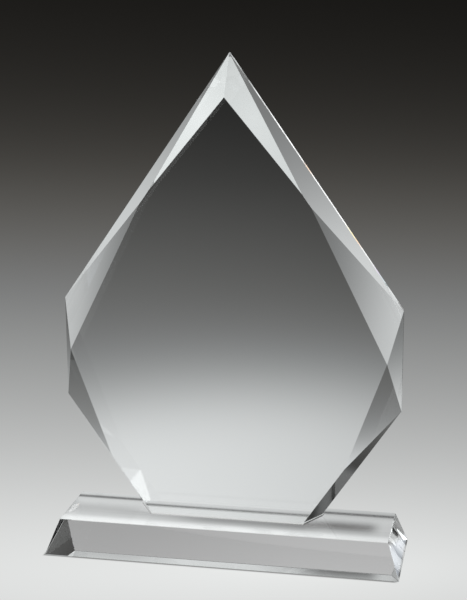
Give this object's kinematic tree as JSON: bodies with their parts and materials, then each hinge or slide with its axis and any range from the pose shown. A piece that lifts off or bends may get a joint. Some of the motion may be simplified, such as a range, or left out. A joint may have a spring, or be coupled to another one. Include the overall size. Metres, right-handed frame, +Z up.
{
  "type": "crystal award",
  "caption": "Free-standing award: a faceted clear crystal blade with a pointed top, bonded upright on a low sloped crystal base.",
  "frame": {"origin": "centre of the base's underside, where the award stands", "axes": "+Z up, -Y the way the bevelled front face looks, X along the base's length"},
  "size_m": [0.182, 0.054, 0.254],
  "materials": {
    "blade_crystal": "polished optical crystal, colourless and fully transparent",
    "base_crystal": "polished optical crystal, colourless and fully transparent",
    "cured_adhesive": "clear cured adhesive"
  },
  "bodies": {
    "root": {"crystal_blade": "blade_crystal", "crystal_base": "base_crystal", "adhesive_film": "cured_adhesive"}
  },
  "joints": []
}
